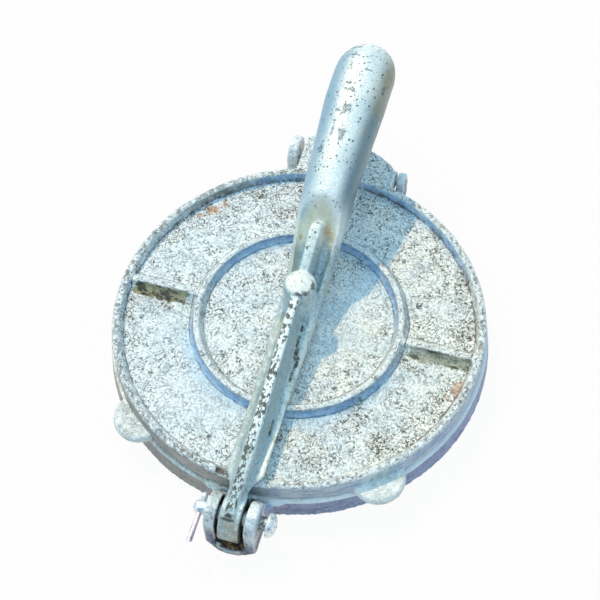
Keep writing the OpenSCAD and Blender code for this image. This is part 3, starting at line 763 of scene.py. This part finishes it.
# ---------------------------------------------------------------- finish of the pins
def steel_finish(name, tint, dark, grimy=None, bright_behind=None):
    """Steel; grimy is a stretch of x that is dirty, and bright_behind a y behind which it shines."""
    f = Finish(name, metallic=0.6)
    s = f.s
    cloud = s.noise(f.place, 600.0, detail=4.0, rough=0.65)
    f.colour = s.blend(s.ramp(cloud, 0.34, 0.5), dark, tint)
    if grimy:
        f.stain(s.mul(f.band(f.x, *grimy, 0.3), s.ramp(cloud, 0.3, 0.6, 1.0, 0.6)), 0.95, rgb(84, 74, 60))
    if bright_behind:
        soft = 1.2
        f.stain(f.rise(f.y, bright_behind - soft, bright_behind + soft), 0.85, rgb(232, 238, 240))
    f.bump(s.noise(f.place, 900.0, detail=3.0), strength=0.3, depth=0.6 * MM)
    return f.done(rough=s.ramp(cloud, 0.3, 0.7, 0.5, 0.3))


# ---------------------------------------------------------------- geometry trees
def shaping(name, sizes, draw):
    """A geometry tree with named sizes: draw makes the shape, which ends whole, smooth and in its material."""
    tree = bpy.data.node_groups.new(name, "GeometryNodeTree")
    socket = tree.interface.new_socket
    socket("Geometry", in_out="INPUT", socket_type="NodeSocketGeometry")
    for label, value in sizes:
        socket(label, in_out="INPUT", socket_type="NodeSocketFloat").default_value = value
    socket("Material", in_out="INPUT", socket_type="NodeSocketMaterial")
    socket("Geometry", in_out="OUTPUT", socket_type="NodeSocketGeometry")
    s = Sheet(tree)
    i = s.node("NodeGroupInput").outputs
    drawn = draw(s, i)
    for kind in ("GeometryNodeSetShadeSmooth", "GeometryNodeRealizeInstances", "GeometryNodeSetMaterial"):
        step = s.node(kind)
        s.feed(drawn, step.inputs["Geometry"])
        drawn = step.outputs[0]
    s.feed(i["Material"], step.inputs["Material"])
    s.feed(drawn, s.node("NodeGroupOutput").inputs["Geometry"])
    return tree


def draw_cast_surface(s, i):
    """A smooth surface made wavy and lumpy, as sand leaves it."""
    def swell(height, scale):
        n = s.node("ShaderNodeTexNoise", noise_dimensions="4D")
        s.feed(s.node("GeometryNodeInputPosition").outputs[0], n.inputs["Vector"])
        s.feed(i["Seed"], n.inputs["W"])
        s.feed(scale, n.inputs["Scale"])
        n.inputs["Detail"].default_value = 1.5
        return s.mul(s.sub(n.outputs[0], 0.5), s.mul(height, 2.0))

    offset = s.add(swell(i["Wave Height"], i["Wave Scale"]), swell(i["Lump Height"], i["Lump Scale"]))
    move = s.node("ShaderNodeVectorMath", operation="SCALE")
    s.feed(s.node("GeometryNodeInputNormal").outputs[0], move.inputs[0])
    s.feed(offset, move.inputs["Scale"])
    shift = s.node("GeometryNodeSetPosition")
    s.feed(i["Geometry"], shift.inputs["Geometry"])
    s.feed(move.outputs[0], shift.inputs["Offset"])
    return shift.outputs[0]


def draw_bent_wire(s, i):
    """A flattened wire along a path."""
    path = s.node("GeometryNodeMeshToCurve")
    s.feed(i["Geometry"], path.inputs["Mesh"])
    level = s.node("GeometryNodeSetCurveNormal", mode="FREE")
    s.feed(path.outputs[0], level.inputs["Curve"])
    s.feed((1, 0, 0), level.inputs["Normal"])
    ring = s.node("GeometryNodeCurvePrimitiveCircle")
    s.feed(20, ring.inputs["Resolution"])
    s.feed(1.0, ring.inputs["Radius"])
    flat = s.node("GeometryNodeTransform")
    s.feed(ring.outputs[0], flat.inputs["Geometry"])
    s.feed(s.combine(i["Half Width"], i["Half Thickness"], 1.0), flat.inputs["Scale"])
    wire = s.node("GeometryNodeCurveToMesh")
    s.feed(level.outputs[0], wire.inputs["Curve"])
    s.feed(flat.outputs[0], wire.inputs["Profile Curve"])
    s.feed(True, wire.inputs["Fill Caps"])
    return wire.outputs[0]


CAST_SURFACE = shaping("cast_surface", [("Wave Height", 0.1 * MM), ("Wave Scale", 90.0), ("Lump Height", 0.03 * MM),
                                        ("Lump Scale", 380.0), ("Seed", 3.0)], draw_cast_surface)
BENT_WIRE = shaping("bent_wire", [("Half Width", 1.0 * MM), ("Half Thickness", 0.5 * MM)], draw_bent_wire)


def bake(o):
    """Turn the object's modifiers into a plain mesh."""
    mesh = bpy.data.meshes.new_from_object(o.evaluated_get(bpy.context.evaluated_depsgraph_get()))
    o.modifiers.clear()
    o.data = mesh


def shape(o, tree, material, values):
    """Run a geometry tree on the object, after the modifiers that it has, and bake them all."""
    m = o.modifiers.new(tree.name, "NODES")
    m.node_group = tree
    ids = {item.name: item.identifier for item in tree.interface.items_tree if item.in_out == "INPUT"}
    m[ids["Material"]] = material
    for label, value in values.items():
        m[ids[label.replace("_", " ")]] = value
    bake(o)


# ---------------------------------------------------------------- castings
# rib between the boss and the handle: y, half width, top and foot
REAR_RIB = ((5.0, 2.1, 45.2, 28.2), (12.0, 2.2, 47.2, 29.0), (20.0, 2.5, 49.9, 32.0),
            (28.0, 2.8, 52.5, 37.0), (33.0, 2.6, 53.2, 41.3), (36.4, 1.7, 50.6, 44.6))
RIB_DRAFT = 0.5     # how much wider each side of the rib is at its foot
SCOOP_END = (32.0, 57.0, 45.0, 60)     # low y, high y, low z, and rounds of smoothing
BLEND_DEPTH = 7.0   # over which that smoothing comes in


def add_rib(bm):
    """A closed bar with sloping sides through the rear rib's stations."""
    rings = []
    for y, w, top, foot in REAR_RIB:
        corners = (-w, y, top), (w, y, top), (w + RIB_DRAFT, y, foot), (-w - RIB_DRAFT, y, foot)
        rings.append([bm.verts.new(Vector(c) * MM) for c in corners])
    faces = [bm.faces.new((a[k], a[(k + 1) % 4], b[(k + 1) % 4], b[k]))
             for a, b in zip(rings, rings[1:]) for k in range(4)]
    faces += [bm.faces.new(rings[0][::-1]), bm.faces.new(rings[-1])]
    bmesh.ops.recalc_face_normals(bm, faces=faces)


def mesh_of(node):
    """A welded copy of a CAD node's mesh."""
    bm = bmesh.new()
    bm.from_mesh(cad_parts[node].data)
    bmesh.ops.remove_doubles(bm, verts=bm.verts, dist=1e-6)
    if node == "lever":
        add_rib(bm)
    mesh = bpy.data.meshes.new(node + "_cast")
    bm.to_mesh(mesh)
    bm.free()
    return mesh


def soften(o, rounds, group=""):
    """Smooth the piece, or only its vertex group, a number of times."""
    m = o.modifiers.new("soften", "SMOOTH")
    m.factor = 0.5
    m.iterations = rounds
    m.vertex_group = group


def blend_stretch(o, low_y, high_y, low_z, rounds):
    """Smooth one stretch of a piece much more than the rest."""
    bake(o)
    part = o.vertex_groups.new(name="blended")
    for v in o.data.vertices:
        inside = min(v.co.y / MM - low_y, high_y - v.co.y / MM, v.co.z / MM - low_z) / BLEND_DEPTH
        if inside > 0:
            part.add([v.index], min(inside, 1.0), "REPLACE")
    soften(o, rounds, part.name)
    bake(o)
    o.vertex_groups.clear()


def casting(node, body, material, cell, rounds, blended=None, **surface):
    """The node as it comes out of a sand mould: edges rounded over, faces a little wavy, inside the node's box.

    cell is the size of the mesh that it is recast in, and rounds is how often that is smoothed.
    """
    o = bpy.data.objects.new(node + "_casting", mesh_of(node))
    bpy.context.collection.objects.link(o)
    m = o.modifiers.new("round", "REMESH")
    m.mode = "VOXEL"
    m.voxel_size = cell * MM
    m.use_smooth_shade = True
    if blended:
        blend_stretch(o, *blended)
    soften(o, rounds)
    shape(o, CAST_SURFACE, material, surface)
    low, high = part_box(node)
    for v in o.data.vertices:
        v.co = [min(max(c, a), b) for c, a, b in zip(v.co, low, high)]
    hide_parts(node)
    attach(o, body)


casting("base", "base", base_finish(), cell=0.9, rounds=3,
        Wave_Height=0.16 * MM, Lump_Height=0.05 * MM, Seed=1.0)
casting("top_plate", "top_plate", plate_finish(), cell=0.85, rounds=3,
        Wave_Height=0.16 * MM, Lump_Height=0.05 * MM, Seed=2.0)
casting("lever", "lever", lever_finish(), cell=0.55, rounds=3, blended=SCOOP_END,
        Wave_Height=0.14 * MM, Lump_Height=0.05 * MM, Seed=3.0)


# ---------------------------------------------------------------- pins
def split_pin_path(low, high):
    """The split pin's middle line, as (y, height): an eye behind the lever pin and two legs lying forward."""
    half_thick = 0.5
    gap = 0.52      # from the middle to each leg where they lie side by side
    eye = (high.z - low.z) / 2 - half_thick
    centre = high.y - eye - half_thick
    neck = math.asin(gap / eye) + 0.35      # angle at which the eye opens out of the legs
    start, sweep, steps = neck - math.pi, 2 * (math.pi - neck), 24
    turns = [start + sweep * k / steps for k in range(steps + 1)]
    lower_leg = [(low.y + 0.9, -1.05), (low.y + 4, -0.75), (low.y + 8, -gap),
                 (centre - eye - 2, -gap), (centre - eye, -gap)]
    bend = [(centre + eye * math.cos(t), eye * math.sin(t)) for t in turns]
    upper_leg = [(centre - eye, gap), (centre - eye - 2, gap), (low.y + 8, gap),
                 (low.y + 4, 0.7), (low.y + 0.1, 0.95)]
    return lower_leg + bend + upper_leg


def split_pin_wire(material):
    """The split pin: one wire bent back on itself."""
    low, high = (Vector(c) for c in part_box("split_pin"))
    middle = (low + high) / 2
    points = [(middle.x, y * MM, middle.z + up * MM) for y, up in split_pin_path(low / MM, high / MM)]
    mesh = bpy.data.meshes.new("split_pin_path")
    mesh.from_pydata(points, [(k, k + 1) for k in range(len(points) - 1)], [])
    o = bpy.data.objects.new("split_pin_wire", mesh)
    bpy.context.collection.objects.link(o)
    shape(o, BENT_WIRE, material, {"Half Width": 1.04 * MM, "Half Thickness": 0.5 * MM})
    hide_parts("split_pin")
    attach(o, "base")


split_pin_wire(steel_finish("split_pin_steel", rgb(214, 196, 206), rgb(160, 130, 148), bright_behind=-102.6))
casting("lever_pin", "base",
        steel_finish("lever_pin_steel", rgb(246, 248, 248), rgb(176, 184, 188), grimy=(12.4, 15.7)),
        cell=0.28, rounds=2,
        Wave_Height=0.2 * MM, Wave_Scale=300.0, Lump_Height=0.12 * MM, Lump_Scale=700.0, Seed=4.0)
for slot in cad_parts["hinge_pin"].material_slots:
    slot.material = steel_finish("hinge_pin_steel", rgb(206, 202, 194), rgb(150, 140, 126))


# ---------------------------------------------------------------- studio
def sun(toward, energy, spread, color):
    """The key light; spread is how wide the sun looks, in degrees."""
    light = bpy.data.lights.new("key", "SUN")
    light.energy = energy
    light.color = color
    light.angle = math.radians(spread)
    o = bpy.data.objects.new("key", light)
    o.rotation_euler = Vector(toward).normalized().to_track_quat("Z", "Y").to_euler()
    bpy.context.collection.objects.link(o)


def backed_by(tree, seen, lit, plain, output):
    """Show the plain shader where seen says, and the lit one elsewhere."""
    s = Sheet(tree)
    mix = s.node("ShaderNodeMixShader")
    s.feed(seen, mix.inputs[0])
    s.feed(lit.outputs[0], mix.inputs[1])
    s.feed(plain.outputs[0], mix.inputs[2])
    s.feed(mix.outputs[0], tree.nodes[output].inputs["Surface"])


def studio_world():
    """A broad soft light overhead, fuller behind on the left than in front on the right; white to the camera."""
    world = bpy.data.worlds.new("studio")
    bpy.context.scene.world = world
    world.use_nodes = True
    s = Sheet(world.node_tree)
    sky = world.node_tree.nodes["Background"]
    direction = s.node("ShaderNodeTexCoord").outputs["Generated"]
    behind_left, overhead = (Vector(v).normalized()[:] for v in ((-0.45, 0.3, 0.84), (-0.2, -0.12, 0.97)))
    dim, full = (0.26, 0.34, 0.44, 1), (0.50, 0.79, 1.00, 1)
    side = s.ramp(s.vec("DOT_PRODUCT", direction, behind_left), -0.5, 0.75)
    s.feed(s.blend(side, dim, full), sky.inputs["Color"])
    s.feed(s.ramp(s.vec("DOT_PRODUCT", direction, overhead), 0.80, 0.99, 1.0, 1.75), sky.inputs["Strength"])
    white = s.node("ShaderNodeBackground")
    white.inputs["Color"].default_value = (1, 1, 1, 1)
    camera_ray = s.node("ShaderNodeLightPath").outputs["Is Camera Ray"]
    backed_by(world.node_tree, camera_ray, sky, white, "World Output")


def studio_floor():
    """A pale floor that takes the press's shadow and shows nearly white."""
    reach = 3.0     # metres each way
    mesh = bpy.data.meshes.new("floor")
    bm = bmesh.new()
    bmesh.ops.create_grid(bm, x_segments=1, y_segments=1, size=reach)
    bm.to_mesh(mesh)
    bm.free()
    floor = bpy.data.objects.new("floor", mesh)
    floor.location.z = cad_box[0][2]
    bpy.context.collection.objects.link(floor)
    mat = bpy.data.materials.new("floor_white")
    mat.use_nodes = True
    s = Sheet(mat.node_tree)
    body = mat.node_tree.nodes["Principled BSDF"]
    body.inputs["Base Color"].default_value = (0.66, 0.62, 0.58, 1)
    body.inputs["Roughness"].default_value = 0.9
    path = s.node("ShaderNodeLightPath").outputs
    seen = s.most(path["Is Camera Ray"], path["Is Glossy Ray"], path["Is Transmission Ray"])
    backed_by(mat.node_tree, s.mul(seen, 0.95), body, s.node("ShaderNodeEmission"), "Material Output")
    mesh.materials.append(mat)


sun(toward=(-0.44, 0.41, 0.80), energy=2.08, spread=2.0, color=(1.0, 0.73, 0.43))
studio_world()
studio_floor()
bpy.context.scene.view_settings.view_transform = "Standard"
